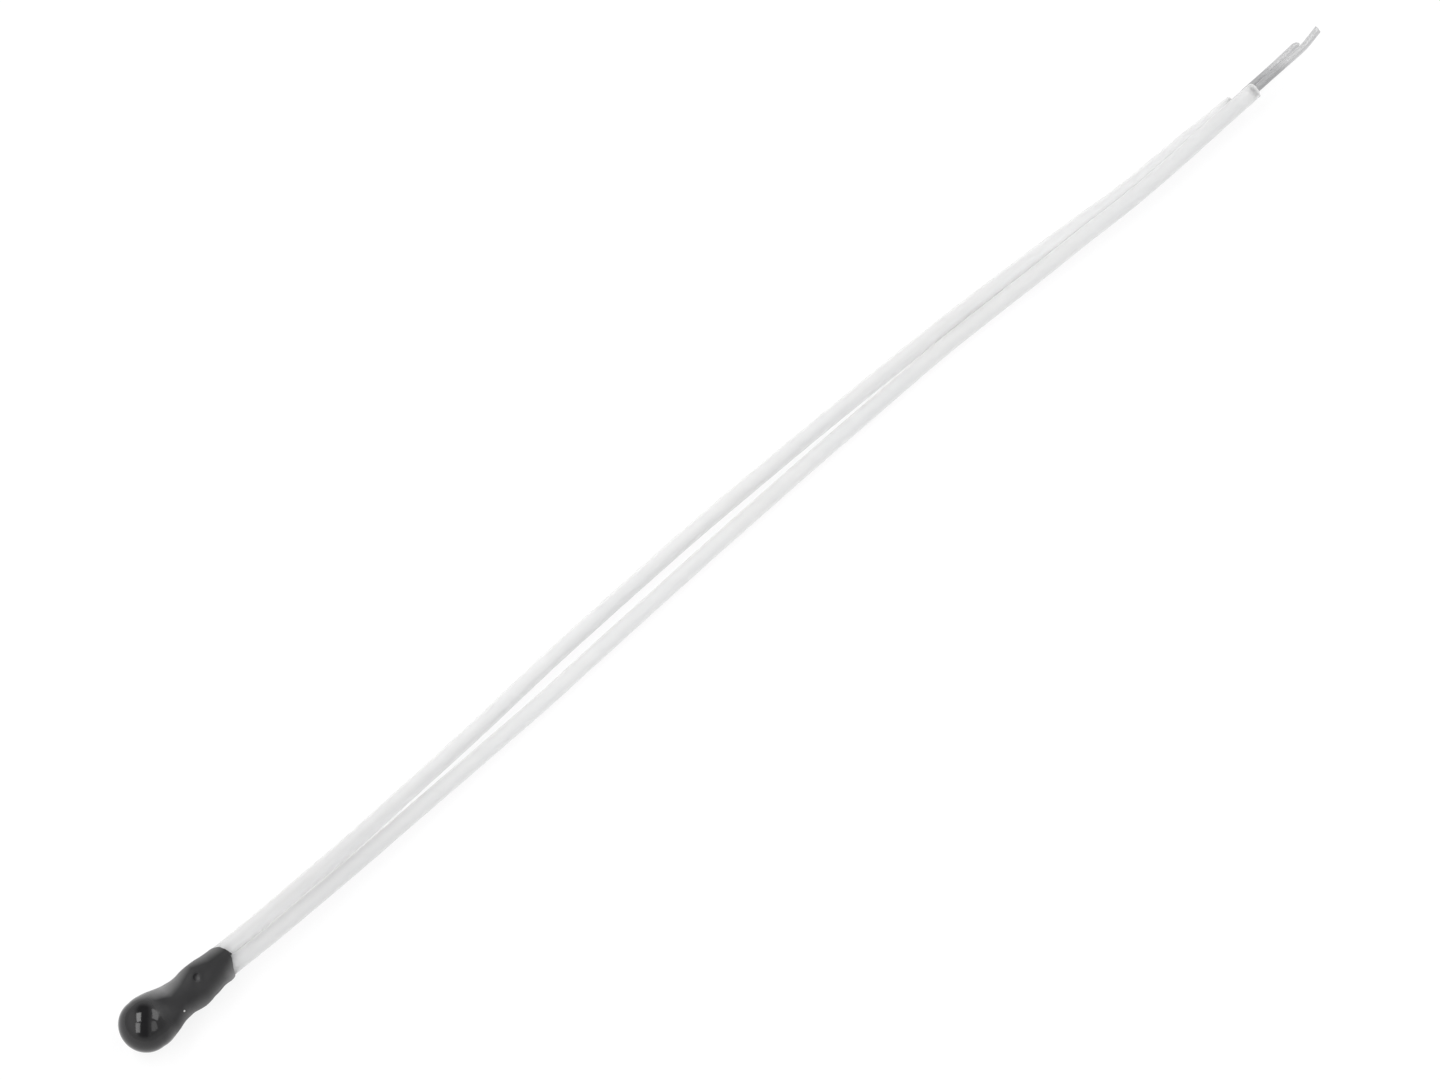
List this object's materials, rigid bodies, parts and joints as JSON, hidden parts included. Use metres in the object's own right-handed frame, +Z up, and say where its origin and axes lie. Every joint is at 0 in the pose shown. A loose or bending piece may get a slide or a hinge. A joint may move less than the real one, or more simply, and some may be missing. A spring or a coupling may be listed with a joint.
{
  "type": "ntc thermistor",
  "caption": "Bead thermistor: chip in a black epoxy drop with two thin white insulated leads, stripped at the far end",
  "frame": {"origin": "on the surface that the part lies on, under the middle of the epoxy head", "axes": "+X along the head's axis from the bead to the leads, +Y to the side of lead a, +Z up"},
  "size_m": [0.0522, 0.0025, 0.0016],
  "materials": {
    "epoxy": "glossy black dipped epoxy",
    "sensor_ceramic": "dark sintered oxide",
    "electrode": "fired silver, matt",
    "solder": "soft solder, satin",
    "wire": "plated solid wire, satin silver",
    "insulation": "white fluoropolymer, silky"
  },
  "bodies": {
    "root": {"epoxy_head": "epoxy", "ntc_chip": "sensor_ceramic", "chip_electrode_a": "electrode", "chip_electrode_b": "electrode", "solder_joint_a": "solder", "solder_joint_b": "solder", "conductor_a": "wire", "conductor_b": "wire", "insulation_a": "insulation", "insulation_b": "insulation"}
  },
  "joints": []
}
